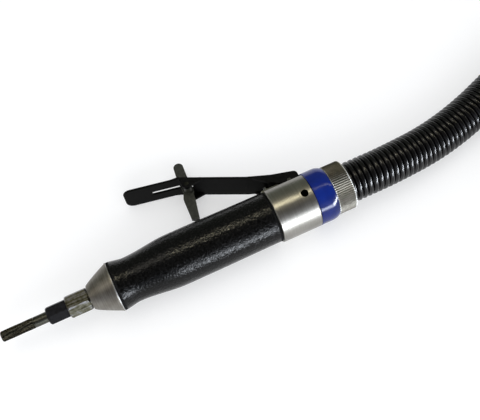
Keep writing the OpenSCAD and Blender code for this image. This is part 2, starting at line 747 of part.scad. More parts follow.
module valve_gland() {
    color("#b7a06a") lay_down() translate([stem_x, 0, 0]) difference() {
        translate([0, 0, gland_z]) cylinder(d = valve_bore_d - 2 * fit_gap, h = gland_top_z - gland_z);
        translate([0, 0, gland_z - over])
            cylinder(d = stem_d + 2 * run_gap, h = gland_top_z - gland_z + 2 * over);
    }
}

module valve_seat() {
    color("#d8d4c8") lay_down() translate([stem_x, 0, 0]) difference() {
        translate([0, 0, seat_z]) cylinder(d = valve_bore_d - 2 * fit_gap, h = seat_t);
        translate([0, 0, seat_z - over]) cylinder(d = seat_bore_d, h = seat_t + 2 * over);
    }
}

module valve_stem() {
    head_top = seat_z - seat_gap;
    neck_top = gland_z - free_gap;
    color("#c4c6c8") lay_down() translate([stem_x, 0, 0]) {
        translate([0, 0, stem_ball_z]) sphere(d = stem_d);
        translate([0, 0, neck_top]) cylinder(d = stem_d, h = stem_ball_z - neck_top);
        translate([0, 0, head_top - over]) cylinder(d = neck_d, h = neck_top - head_top + 2 * over);
        translate([0, 0, head_top - head_t]) cylinder(d = head_d, h = head_t);
    }
}

module valve_spring() {
    low = valve_bore_z + spring_wire_d / 2 + run_gap;
    high = seat_z - seat_gap - head_t - spring_wire_d / 2 - run_gap;
    steps = 12 * spring_turns;
    path = [for (i = [0:steps]) [spring_d / 2 * cos(30 * i), spring_d / 2 * sin(30 * i),
        low + (high - low) * i / steps]];
    color("#9b9ea2") lay_down() translate([stem_x, 0, 0])
        swept(path, [for (p = path) spring_wire_d / 2], 6);
}

// Throttle lever
function lever_line() = [tongue_p, bend_p, over_valve_p, over_hinge_p, heel_p];
function lever_angles() = [tongue_angle, main_angle, shoulder_angle, heel_angle];
function lever_under() = let (p = lever_line(), a = lever_angles()) [
    below(p[0], a[0], lever_t), below(p[1], (a[0] + a[1]) / 2, lever_t),
    below(p[2], (a[1] + a[2]) / 2, lever_t), below(p[3], (a[2] + a[3]) / 2, lever_t),
    below(p[4], a[3], lever_t)];
module lever_flange(y) {
    under = lever_under();
    top = lever_line();
    front_p = under[2] + (under[3] - under[2]) / 4;
    side_plate([front_p, top[3], top[4], [heel_x, hinge_z - flange_r / 2],
        [hinge_x + flange_r / 2, hinge_z - flange_r * 0.9], [hinge_x - flange_r, hinge_z - flange_r / 2],
        under[3] + [-flange_r, -flange_r]], y, lever_t);
    cross_rod_at(hinge_x, hinge_z, y, lever_t, 2 * flange_r);
}
module cross_rod_at(x, z, y, w, d) {
    translate([x, y + w, z]) rotate([90, 0, 0]) cylinder(d = d, h = w);
}
module lever_ear(y) {
    front_p = [lock_x - ear_r, bend_p[1] + (bend_p[0] - lock_x + ear_r) * tan(tongue_angle) - lever_t / 2];
    back_p = [lock_x + ear_l, bend_p[1] - (lock_x + ear_l - bend_p[0]) * tan(main_angle) - lever_t / 2];
    mid_p = [lock_x, bend_p[1] - (lock_x - bend_p[0]) * tan(main_angle) - lever_t / 2];
    side_plate([front_p, mid_p, back_p, back_p - [0, lever_t / 2],
        [lock_x + ear_r * sin(45), lock_z - ear_r * cos(45)], [lock_x - ear_r, lock_z]], y, lever_t);
    cross_rod_at(lock_x, lock_z, y, lever_t, 2 * ear_r);
}
// Plan outline: a narrower tongue with rounded corners, widening just in front of the bend
module lever_plan() {
    front_x = tongue_p[0] + tongue_corner;
    narrow_w = tongue_w - 2 * tongue_corner;
    for (side = [-1, 1])
        translate([front_x, side * narrow_w / 2]) circle(r = tongue_corner);
    translate([tongue_p[0], -narrow_w / 2]) square([tongue_corner + over, narrow_w]);
    for (side = [0, 1]) mirror([0, side])
        polygon([[front_x, 0], [front_x, tongue_w / 2], [lock_x - 2 * slot_back, tongue_w / 2],
            [lock_x - slot_back, lever_w / 2], [ring_x, lever_w / 2], [ring_x, 0]]);
}
// Waste outside the rounded upper corner of the heel
module heel_waste() {
    drop = heel_corner * (1 - sin(heel_angle)) / cos(heel_angle);
    centre = [heel_x - heel_corner, heel_z - drop];
    slope = [sin(heel_angle), cos(heel_angle)];
    translate([0, lever_w / 2 + over, 0]) rotate([90, 0, 0]) linear_extrude(lever_w + 2 * over)
        difference() {
            polygon([centre, centre + (heel_corner + over) * slope, [heel_x + over, heel_z + over],
                [heel_x + over, centre[1]]]);
            translate(centre) circle(r = heel_corner);
        }
}
module throttle_lever() {
    half_w = lever_w / 2;
    slot_front_x = slot_x - slot_l + slot_w / 2;
    color("#141414") lay_down() difference() {
        union() {
            intersection() {
                side_plate(concat(lever_line(), flip(lever_under())), -half_w, lever_w);
                linear_extrude(2 * lock_z) lever_plan();
            }
            for (y = [-half_w, half_w - lever_t]) {
                lever_flange(y);
                lever_ear(y);
            }
        }
        heel_waste();
        // Slot for the lock-off lever
        translate([slot_front_x, -slot_w / 2, lock_z - ear_r])
            cube([slot_x - slot_front_x, slot_w, lock_z]);
        translate([slot_front_x, 0, lock_z - ear_r]) cylinder(d = slot_w, h = lock_z);
        cross_rod(hinge_x, hinge_z, lever_w + 2 * over, pin_d + 2 * run_gap);
        cross_rod(lock_x, lock_z, lever_w + 2 * over, pin_d + 2 * fit_gap);
    }
}

module hinge_pin() {
    color("#3a3a38") lay_down() cross_rod(hinge_x, hinge_z, lever_w, pin_d);
}

// Lock-off lever: thumb tab above the pivot, tapering leg below it
module lock_off_lever() {
    hub_r = 3.2;
    boss_r = 2.5;
    leg_w = 4.2;
    tab_c = [tab_lean, tab_h - tab_r];
    // Edges of the tab and the leg, as shares of their widths and of their reach from the pivot
    tab_front_share = [1.1, 0.53];
    tab_back_shares = [[1, 0.48], [0.9, 0.077]];
    leg_shares = [[0.48, 0.164], [0.4, 0.27], [-0.31, 0.962], [-0.5, 1], [-0.81, 0.986],
        [-1.38, 0.904], [-1.33, 0.808], [-1.19, 0.221], [-0.76, 0]];
    outline = concat([[-tab_r * tab_front_share[0], tab_h * tab_front_share[1]],
        [tab_c[0] - tab_r, tab_c[1]], [tab_c[0] + tab_r, tab_c[1]]],
        [for (p = tab_back_shares) [tab_r * p[0], tab_h * p[1]]],
        [for (p = leg_shares) [leg_w * p[0], -leg_h * p[1]]]);
    inner_half = lever_w / 2 - lever_t - seat_gap;
    color("#3d3e36") lay_down() difference() {
        union() {
            translate([lock_x, lock_t / 2, lock_z]) rotate([90, 0, 0]) linear_extrude(lock_t) {
                polygon(outline);
                translate(tab_c) circle(r = tab_r, $fn = 48);
                circle(r = hub_r - run_gap, $fn = 48);
            }
            cross_rod_at(lock_x, lock_z, -inner_half, inner_half, 2 * boss_r);
        }
        cross_rod(lock_x, lock_z, lever_w + 2 * over, pin_d + 2 * run_gap);
    }
}

module lock_off_pin() {
    color("#55564f") lay_down() cross_rod(lock_x, lock_z, lever_w, pin_d);
}

module lock_off_spring() {
    wire_d = 0.6;
    turns = 4;
    start_y = lock_t / 2 + wire_d;
    end_y = lever_w / 2 - lever_t - wire_d;
    coil_mean_r = pin_d / 2 + wire_d / 2 + 2 * run_gap;
    steps = 12 * turns;
    path = [for (i = [0:steps]) [coil_mean_r * cos(30 * i), coil_mean_r * sin(30 * i),
        start_y + (end_y - start_y) * i / steps]];
    color("#8a8d90") lay_down() translate([lock_x, 0, lock_z]) rotate([-90, 0, 0])
        swept(path, [for (p = path) wire_d / 2], 6);
}

// Rear fittings
module colour_ring() {
    front_r = ring_front_d / 2;
    rear_r = ring_rear_d / 2;
    x = ring_x + seat_gap;
    l = ring_l - 2 * seat_gap;
    straight_share = 0.62;
    steps = 8;
    fall = [for (i = [0:steps]) let (t = i / steps)
        [front_r - (front_r - rear_r) * t * t, x + l * (straight_share + (1 - straight_share) * t)]];
    chamfer = 0.2;
    color("#22338f") lay_down() difference() {
        turned(concat([[0, x], [front_r - chamfer, x], [front_r, x + chamfer]], fall, [[0, x + l]]));
        rod(x - over, l + 2 * over, core_d + 2 * fit_gap);
    }
}

module knurled_sleeve() {
    outer_r = sleeve_d / 2;
    chamfer = 0.5;
    bore_front = core_d + 2 * fit_gap;
    bore_rear = hose_d + 2 * free_gap;
    outline = [for (i = [0:knurl_count - 1], k = [0, 1])
        let (a = 360 * (i + k / 2) / knurl_count, r = outer_r - k * knurl_depth) [r * cos(a), r * sin(a)]];
    color("#8b887e") lay_down() difference() {
        intersection() {
            translate([sleeve_x, 0, 0]) rotate([0, 90, 0]) linear_extrude(sleeve_l) polygon(outline);
            turned([[0, sleeve_x], [outer_r - knurl_depth - run_gap, sleeve_x],
                [outer_r + over, sleeve_x + over + knurl_depth],
                [outer_r + over, sleeve_end_x - chamfer - over],
                [outer_r - chamfer, sleeve_end_x], [0, sleeve_end_x]]);
        }
        rod(sleeve_x - over, core_x - sleeve_x + over, bore_front);
        rod(sleeve_x, sleeve_l + over, bore_rear);
    }
}

module inlet_nipple() {
    barb_r = supply_bore / 2 * cos(180 / 8) - run_gap;
    neck_r = barb_r - free_gap;
    bore_r = supply_bore_d / 2 - seat_gap;
    rise_share = 0.2;
    x = core_x - nipple_seat + fit_gap;
    flange_x = core_x + fit_gap;
    tail_x = flange_x + nipple_flange_l;
    barbs = 3;
    pitch = nipple_l / 4;
    color("#b89b5e") lay_down() difference() {
        turned(concat([[0, x], [nipple_flange_d / 3, x], [nipple_flange_d / 3, flange_x],
            [nipple_flange_d / 2 - run_gap, flange_x], [nipple_flange_d / 2 - run_gap, tail_x]],
            [for (i = [0:barbs - 1]) each [[neck_r, tail_x + pitch * i],
                [barb_r, tail_x + pitch * (i + rise_share)], [neck_r, tail_x + pitch * (i + 1)]]],
            [[0, tail_x + pitch * barbs]]));
        rod(x - over, nipple_l + nipple_seat + over, 2 * bore_r);
    }
}

// Hoses
rib_count = floor(route_len(hose_route) / rib_pitch);
hose_path = [for (i = [0:2 * rib_count]) along(hose_route, route_len(hose_route) * i / (2 * rib_count))];
hose_radii = [for (i = [0:2 * rib_count]) hose_d / 2 - (i % 2) * rib_depth];
module exhaust_hose() {
    color("#0f0f10") on_ground() swept_tube(hose_path, hose_radii, hose_route, hose_bore / 2, 8);
}

supply_start = core_x + nipple_flange_l + 2 * fit_gap;
supply_path = concat([[supply_start, 0, axis_h]],
    [for (p = hose_route) if (p[0] > supply_start + nipple_flange_l) p]);
module supply_hose() {
    color("#202124") on_ground() swept_tube(supply_path, [for (p = supply_path) supply_d / 2],
        supply_path, supply_bore / 2, 8);
}

// Put-away coil: a straight lead, a clockwise inward spiral, a tucked last stretch and a straight end
heading = unit(hose_end - hose_route[len(hose_route) - 2]);
coil_heading = atan2(heading[1], heading[0]);
coil_start = hose_end + coil_lead_in * heading;
coil_c = coil_start + coil_r * [sin(coil_heading), -cos(coil_heading), 0];
coil_sweep = 360 * coil_steps / loop_rings;
function coil_radius(a) = coil_r - coil_pitch * a / 360
    - coil_tuck * pow(max(0, a - coil_sweep + coil_tuck_angle) / coil_tuck_angle, 2);
function coil_point(a) = coil_c + coil_radius(a)
    * [cos(coil_heading + 90 - a), sin(coil_heading + 90 - a), 0];
spiral_end = coil_point(coil_sweep);
end_dir = unit(spiral_end - coil_point(coil_sweep - 1));
end_side = cross(end_dir, [0, 0, 1]);
coil_end = spiral_end + coil_lead_out * end_dir;
coil_path = concat([hose_end, hose_end + coil_lead_in / 2 * heading],
    [for (i = [0:coil_steps]) coil_point(coil_sweep * i / coil_steps)],
    [spiral_end + coil_lead_out / 2 * end_dir, coil_end]);
module hose_coil() {
    color("#0f0f10") on_ground() swept_tube(coil_path, [for (p = coil_path) hose_d / 2],
        coil_path, hose_bore / 2, 6);
}
hose_total = route_len(hose_route) + route_len(coil_path);
turn_gap = min([for (i = [0:len(coil_path) - 1], k = [i + loop_rings / 2:len(coil_path) - 1])
    norm(coil_path[i] - coil_path[k])]) - hose_d;
echo(least_gap_between_turns = turn_gap, hose_length = hose_total);

module hose_tie() {
    // The strap lies across the middle of a straight run of both turns
    run = coil_path[tie_step + 3] - coil_path[tie_step + 2];
    outer = (coil_path[tie_step + 3] + coil_path[tie_step + 2]) / 2;
    inner = (coil_path[tie_step + loop_rings + 3] + coil_path[tie_step + loop_rings + 2]) / 2;
    half = norm(outer - inner) / 2;
    in_r = hose_d / 2 + seat_gap;
    out_r = in_r + tie_t;
    color("#262626") on_ground() translate((outer + inner) / 2) rotate([0, 0, atan2(run[1], run[0]) + 90])
        translate([0, tie_w / 2, 0]) rotate([90, 0, 0])
            linear_extrude(tie_w) difference() {
                stadium(half, out_r);
                stadium(half, in_r);
            }
}
module stadium(half, r) {
    for (side = [-1, 1]) translate([side * half, 0]) circle(r = r);
    square([2 * half, 2 * r], center = true);
}

module at_coil_end(forward) {
    on_ground() translate(coil_end + forward * end_dir)
        rotate([0, 0, atan2(end_dir[1], end_dir[0])]) children();
}
module end_cuff() {
    cuff_r = hose_d / 2 + cuff_wall;
    color("#1a1a1a") at_coil_end(0) difference() {
        turned([[0, -cuff_lap], [cuff_r, -cuff_lap], [cuff_r, cuff_l / 2], [cuff_r * 2 / 3, cuff_l],
            [0, cuff_l]]);
        rod(-cuff_lap - over, cuff_lap + over, hose_d + 2 * fit_gap);
        rod(cuff_l / 2, cuff_l, supply_d);
    }
}

function tail_world(p) = coil_end + (cuff_l + p[0]) * end_dir + p[1] * end_side + [0, 0, p[2] - coil_h];
tail_path = [for (p = tail_route) tail_world(p)];
tail_end = tail_path[len(tail_path) - 1];
tail_dir = unit(tail_end - tail_path[len(tail_path) - 2]);
module supply_tail() {
    color("#202124") on_ground() swept(tail_path, [for (p = tail_path) supply_d / 2 - fit_gap], 10);
}
module at_tail_end(forward) {
    on_ground() translate(tail_end + forward * tail_dir)
        rotate([0, 0, atan2(tail_dir[1], tail_dir[0])]) children();
}
module crimp_ferrule() {
    lip = 0.4;
    outer_r = ferrule_d / 2;
    color("#b3b6ba") at_tail_end(-ferrule_lap) difference() {
        turned([[0, 0], [outer_r, 0], [outer_r, ferrule_l / 5], [outer_r - lip, ferrule_l / 4],
            [outer_r - lip, ferrule_l * 3 / 4], [outer_r, ferrule_l * 4 / 5], [outer_r, ferrule_l],
            [0, ferrule_l]]);
        rod(-over, ferrule_lap + over, supply_d);
    }
}
module air_plug() {
    body_x = plug_hex_l;
    groove_x = body_x + plug_body_l;
    nose_x = groove_x + plug_groove_l;
    end_x = nose_x + plug_nose_l;
    chamfer = 0.6;
    color("#bfc2c5") at_tail_end(ferrule_l - ferrule_lap) difference() {
        union() {
            rotate([0, 90, 0]) cylinder(d = plug_hex_af / cos(30), h = plug_hex_l, $fn = 6);
            turned([[0, body_x - over], [plug_body_d / 2 - chamfer, body_x - over],
                [plug_body_d / 2 - chamfer, body_x], [plug_body_d / 2, body_x + chamfer],
                [plug_body_d / 2, groove_x - chamfer], [plug_groove_d / 2, groove_x],
                [plug_groove_d / 2, nose_x - chamfer], [plug_nose_d / 2, nose_x],
                [plug_nose_d / 2, end_x - chamfer], [plug_nose_d / 2 - chamfer, end_x], [0, end_x]]);
        }
        rod(end_x - plug_nose_l * 2, plug_nose_l * 2 + over, plug_bore_d);
    }
}

burr();
collet();
spindle();
nose_cone();
nose_seal();
front_inner_ring();
front_outer_ring();
front_bearing_balls();
front_bearing_cage();
front_end_plate();
cylinder_liner();
rotor();
vanes();
rear_end_plate();
rear_inner_ring();
rear_outer_ring();
rear_bearing_balls();
rear_bearing_cage();
rotor_lock_nut();
preload_washer();
motor_tube();
grip_sleeve();
tube_o_ring();
valve_housing();
valve_gland();
valve_seat();
valve_stem();
valve_spring();
throttle_lever();
hinge_pin();
lock_off_lever();
lock_off_pin();
lock_off_spring();
colour_ring();
knurled_sleeve();
inlet_nipple();
supply_hose();
exhaust_hose();
hose_coil();
hose_tie();
end_cuff();
supply_tail();
crimp_ferrule();
air_plug();
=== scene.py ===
# Looks of an air-driven straight grinder with throttle lever and exhaust hose, on the part's frame
import math

import bpy
from mathutils import Matrix, Vector


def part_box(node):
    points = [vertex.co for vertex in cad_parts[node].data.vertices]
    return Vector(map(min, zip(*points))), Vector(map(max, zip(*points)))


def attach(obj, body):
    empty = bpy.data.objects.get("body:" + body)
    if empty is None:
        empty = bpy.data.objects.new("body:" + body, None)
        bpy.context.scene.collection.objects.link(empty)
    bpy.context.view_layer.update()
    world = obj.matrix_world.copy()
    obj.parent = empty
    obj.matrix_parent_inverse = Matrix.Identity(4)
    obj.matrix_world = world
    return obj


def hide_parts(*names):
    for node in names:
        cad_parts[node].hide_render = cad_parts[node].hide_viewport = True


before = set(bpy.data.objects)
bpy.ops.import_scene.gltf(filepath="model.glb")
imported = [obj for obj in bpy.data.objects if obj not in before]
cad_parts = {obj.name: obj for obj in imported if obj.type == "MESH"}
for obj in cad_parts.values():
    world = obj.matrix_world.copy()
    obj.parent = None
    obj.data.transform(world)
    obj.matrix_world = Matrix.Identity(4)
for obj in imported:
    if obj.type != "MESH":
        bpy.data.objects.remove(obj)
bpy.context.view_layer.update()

# Place of the tool's own frame: its x runs along the axis, from the rear edge of the nose cone
MM = 0.001
SHIFT_X, SHIFT_Y, AXIS_H = -0.0379, -0.021358, 0.0158
LEAN = math.radians(8.5)
UP = Vector((0, 0, 1))


def tool(x, y, z):
    """A point of the tool's own frame, in millimetres, in the part's frame."""
    s, c = math.sin(LEAN), math.cos(LEAN)
    return Vector((x * MM + SHIFT_X, (-y * s + z * c) * MM + SHIFT_Y, (-y * c - z * s) * MM + AXIS_H))


def add_object(name, data):
    o = bpy.data.objects.new(name, data)
    bpy.context.scene.collection.objects.link(o)
    return o


def mesh_object(name, verts, faces):
    m = bpy.data.meshes.new(name)
    m.from_pydata([tuple(v) for v in verts], [], faces)
    m.validate()
    m.update()
    return add_object(name, m)


def finish_piece(obj, mat, angle):
    """Gives a new piece its material, and smooth shading up to that angle between its faces."""
    obj.data.materials.append(mat)
    for p in obj.data.polygons:
        p.use_smooth = True
    obj.data.set_sharp_from_angle(angle=math.radians(angle))


def add_camera():
    """The photograph's camera, as fitted to the tool's axis and outline."""
    right = Vector((0.90681, -0.419066, -0.045602))
    up = Vector((0.400255, 0.82203, 0.405048))
    back = Vector((-0.132256, -0.385554, 0.913158))
    place = Vector((-0.017279, -0.184154, 0.429083))
    data = bpy.data.cameras.new("camera")
    data.lens = 60
    data.sensor_width = 36
    data.sensor_fit = "HORIZONTAL"
    data.clip_start = 0.01
    data.clip_end = 20
    camera = add_object("camera", data)
    turn = Matrix((right, up, back)).transposed().to_4x4()
    turn.translation = place
    camera.matrix_world = turn
    bpy.context.scene.camera = camera


add_camera()
bpy.context.scene.view_settings.view_transform = "Standard"

# Route of the exhaust hose: the points of the part's source, ahead and aside of where the hose
# starts and up from the floor, in metres
HOSE_X = 0.131 + SHIFT_X
FREE_RUN = [(0, 0, 0.0158), (0.006, 0, 0.0158), (0.012, 0, 0.0158), (0.018, 0, 0.0158),
            (0.024, 0, 0.0158), (0.034, 0.0003, 0.0152), (0.047, 0.0013, 0.014),
            (0.061, 0.0028, 0.0126), (0.075, 0.005, 0.0121), (0.089, 0.0082, 0.0121),
            (0.103, 0.0123, 0.0124), (0.115, 0.0165, 0.0128), (0.127, 0.0209, 0.0132),
            (0.139, 0.0253, 0.0132)]
route = [Vector((HOSE_X + x, SHIFT_Y + y, z)) for x, y, z in FREE_RUN]
heading = (route[-1] - route[-2]).normalized()
head_angle = math.atan2(heading.y, heading.x)

# Flat coil behind it: a spiral inwards, whose last part tucks in a little more
COIL_LEAD, COIL_TAIL = 0.05, 0.024
COIL_R, COIL_PITCH, SWEEP = 0.144, 0.026, 600
COIL_TUCK, TUCK_ANGLE = 0.0043, 35
COIL_STEPS, LEAD_STEPS, TAIL_STEPS = 120, 10, 6
coil_start = route[-1] + COIL_LEAD * heading
coil_middle = coil_start + COIL_R * Vector((math.sin(head_angle), -math.cos(head_angle), 0))


def coil_radius(a):
    r = COIL_R - COIL_PITCH * a / 360
    if a > SWEEP - TUCK_ANGLE:
        r -= COIL_TUCK * ((a - SWEEP + TUCK_ANGLE) / TUCK_ANGLE) ** 2
    return r


def coil_outwards(a):
    g = head_angle + math.pi / 2 - math.radians(a)
    return Vector((math.cos(g), math.sin(g), 0))


def coil_point(a):
    return coil_middle + coil_radius(a) * coil_outwards(a)


end_dir = (coil_point(SWEEP) - coil_point(SWEEP - 1)).normalized()
end_side = end_dir.cross(UP)
coil_end = coil_point(SWEEP) + COIL_TAIL * end_dir


def curve_through(points, pieces):
    """A smooth line through the points, with that many pieces between each two."""
    out = []
    last = len(points) - 1
    for i in range(last):
        a, b = points[i], points[i + 1]
        span = b - a
        leave = (b - points[i - 1]) * 0.5 if i else span
        arrive = (points[i + 2] - a) * 0.5 if i < last - 1 else span
        leave = leave * (span.length / leave.length)
        arrive = arrive * (span.length / arrive.length)
        for k in range(pieces):
            t = k / pieces
            out.append(a * (2 * t**3 - 3 * t**2 + 1) + leave * (t**3 - 2 * t**2 + t)
                       + b * (-2 * t**3 + 3 * t**2) + arrive * (t**3 - t**2))
    out.append(points[-1])
    return out


def length_of(line):
    return sum((b - a).length for a, b in zip(line[:-1], line[1:]))


def resample(line, step, rest=0.3):
    """Points at equal steps, ending on the line's last point. A last step under that rest is joined."""
    out, left = [line[0]], step
    for a, b in zip(line[:-1], line[1:]):
        span = (b - a).length
        done = 0.0
        while span - done >= left:
            done += left
            out.append(a + (b - a) * done / span)
            left = step
        left -= span - done
    if (out[-1] - line[-1]).length > step * rest:
        out.append(line[-1])
    else:
        out[-1] = line[-1]
    return out


def point_at(line, step, s):
    """The point at the length s along a line of equal steps."""
    i = min(int(s / step), len(line) - 2)
    return line[i] + (line[i + 1] - line[i]) * min(s / step - i, 1.0)


TUBE_SIDES = 24


def tube(name, line, radii):
    """A closed tube along the line, with a radius for each of its points."""
    verts, faces = [], []
    n = len(line)
    for i, (p, r) in enumerate(zip(line, radii)):
        d = (line[min(i + 1, n - 1)] - line[max(i - 1, 0)]).normalized()
        side = d.cross(UP).normalized()
        top = side.cross(d)
        for k in range(TUBE_SIDES):
            a = 2 * math.pi * k / TUBE_SIDES
            verts.append(p + r * (math.sin(a) * side - math.cos(a) * top))
    for i in range(n - 1):
        a, b = i * TUBE_SIDES, (i + 1) * TUBE_SIDES
        for k in range(TUBE_SIDES):
            q = (k + 1) % TUBE_SIDES
            faces.append((a + k, b + k, b + q, a + q))
    faces.append(tuple(range(TUBE_SIDES)))
    faces.append(tuple(reversed(range((n - 1) * TUBE_SIDES, n * TUBE_SIDES))))
    return mesh_object(name, verts, faces)


# Ribbed hose: its pitch, and radii of one rib at shares of the way from one groove to the next
RIB = 0.00326
RIB_SECTION = [(0.0, 0.0099), (0.08, 0.0108), (0.2, 0.0115), (0.34, 0.01183),
               (0.5, 0.0119), (0.66, 0.01183), (0.8, 0.0115), (0.92, 0.0108)]
HOSE_END_R = 0.0109
FINE_STEP, PATH_STEP = RIB / 25, 0.01


def hose_centre():
    """The hose's whole centre line: the free run, the lead to the coil, the coil and its end."""
    lead = [route[-1] + COIL_LEAD * heading * k / LEAD_STEPS for k in range(LEAD_STEPS)]
    coil = [coil_point(SWEEP * i / COIL_STEPS) for i in range(COIL_STEPS + 1)]
    tail = [coil[-1] + COIL_TAIL * end_dir * k / TAIL_STEPS for k in range(1, TAIL_STEPS + 1)]
    return curve_through(route, pieces=8)[:-1] + lead + coil + tail


def ribbed_hose(line):
    """The hose with all its ribs, and its length."""
    fine = resample(line, FINE_STEP)
    length = length_of(fine)
    count = int(length / RIB)
    pitch = length / count
    places, radii = [], []
    for i in range(count):
        for share, r in RIB_SECTION:
            places.append(point_at(fine, FINE_STEP, (i + share) * pitch))
            radii.append(r)
    places.append(fine[-1])
    radii.append(HOSE_END_R)
    return tube("exhaust_hose_ribbed", places, radii), length


hose_line = hose_centre()
hose, hose_length = ribbed_hose(hose_line)
hose_path = resample(hose_line, PATH_STEP)
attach(hose, "housing")
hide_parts("exhaust_hose", "hose_coil")

# Supply hose behind the cuff: the points of the part's source, ahead, aside and up
TAIL_D, TAIL_R, TAIL_START = 0.012, 0.00597, 0.014
TAIL = [(-0.0068, 0, 0.0132), (0, 0, 0.0132), (0.006, 0, 0.0132), (0.0147, 0.0008, 0.013),
        (0.0231, 0.003, 0.0124), (0.031, 0.0067, 0.0115), (0.0381, 0.0117, 0.0105),
        (0.0443, 0.0179, 0.0095), (0.0493, 0.025, 0.0086), (0.053, 0.0329, 0.0079),
        (0.0552, 0.0413, 0.0075), (0.056, 0.05, 0.0074), (0.0552, 0.0587, 0.0074),
        (0.053, 0.0671, 0.0074), (0.048, 0.0807, 0.0074)]


def tail_centre():
    base = Vector((coil_end.x, coil_end.y, 0))
    points = [base + (TAIL_START + x) * end_dir + y * end_side + z * UP for x, y, z in TAIL]
    return curve_through(points, pieces=6)


def supply_tail(line):
    return tube("supply_tail_hose", line, [TAIL_R] * len(line))


tail_line = tail_centre()
tail = supply_tail(tail_line)
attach(tail, "housing")
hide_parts("supply_tail")

# Woven strap round two turns, wound along the true spiral, with its free end lapped over the top
TIE_ANGLE, TIE_WIDTH, TIE_ROWS = 97.5, 0.018, 9
TIE_EDGE = 0.0002
TIE_IN, TIE_OUT = 0.01195, 0.0130
LAP_IN, LAP_OUT = 0.01303, 0.0139
FLAT_STEPS, ROUND_STEPS, LAP_STEPS = 6, 16, 8


def strap_point(off, t, r):
    """A point of the strap: t goes over the top, round the outer turn, below and round the inner."""
    angle = TIE_ANGLE + off
    u = coil_outwards(angle)
    outer = coil_middle + coil_radius(angle) * u
    inner = coil_middle + coil_radius(angle + 360) * u
    if t < 1:
        return inner + (outer - inner) * t + r * UP
    if t < 2:
        b = math.pi * (t - 1)
        return outer + r * (math.sin(b) * u + math.cos(b) * UP)
    if t < 3:
        return outer + (inner - outer) * (t - 2) - r * UP
    b = math.pi * (t - 3)
    return inner - r * (math.sin(b) * u + math.cos(b) * UP)


def strap(name, stations, low, high, closed):
    """A band through its stations, low to high from the hose's middle, thinner along its edges."""
    spread = math.degrees(TIE_WIDTH / 2 / coil_radius(TIE_ANGLE))
    verts, faces = [], []
    n = len(stations)
    for j in range(TIE_ROWS):
        off = spread * (2 * j / (TIE_ROWS - 1) - 1)
        edge = TIE_EDGE if j in (0, TIE_ROWS - 1) else 0
        for r in (low + edge, high - edge):
            verts += [strap_point(off, t, r) for t in stations]
    steps = [(k, (k + 1) % n) for k in range(n if closed else n - 1)]
    for j in range(TIE_ROWS - 1):
        a, b = 2 * j * n, 2 * (j + 1) * n
        for k, q in steps:
            faces.append((a + n + k, a + n + q, b + n + q, b + n + k))
            faces.append((a + k, b + k, b + q, a + q))
        if not closed:
            faces.append((a, a + n, b + n, b))
            faces.append((a + n - 1, b + n - 1, b + 2 * n - 1, a + 2 * n - 1))
    e = 2 * (TIE_ROWS - 1) * n
    for k, q in steps:
        faces.append((k, q, n + q, n + k))
        faces.append((e + k, e + n + k, e + n + q, e + q))
    return mesh_object(name, verts, faces)


def tie_band():
    """The strap's closed band round both turns."""
    runs = (FLAT_STEPS, ROUND_STEPS) * 2
    stations = [run + k / steps for run, steps in enumerate(runs) for k in range(steps)]
    return strap("tie_strap", stations, TIE_IN, TIE_OUT, closed=True)


def tie_lap():
    """The strap's free end, over the top and half of the way round the outer turn."""
    top = [k / LAP_STEPS for k in range(1, LAP_STEPS)]
    side = [1 + k / ROUND_STEPS for k in range(ROUND_STEPS // 2 + 1)]
    return strap("tie_strap_end", top + side, LAP_IN, LAP_OUT, closed=False)


tie = tie_band()
lap = tie_lap()
for piece in (tie, lap):
    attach(piece, "housing")
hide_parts("hose_tie")


# Materials
def material(name, color, metallic=0.0, rough=0.5, **sockets):
    """A new material with plain values, which viewers without its nodes show."""
    m = bpy.data.materials.new(name)
    m.use_nodes = True
    shader = m.node_tree.nodes["Principled BSDF"]
    shader.inputs["Base Color"].default_value = (*color, 1)
    shader.inputs["Metallic"].default_value = metallic
    shader.inputs["Roughness"].default_value = rough
    for socket, value in sockets.items():
        shader.inputs[socket.replace("_", " ")].default_value = value
    return m


def grey(value):
    return (value, value, value)


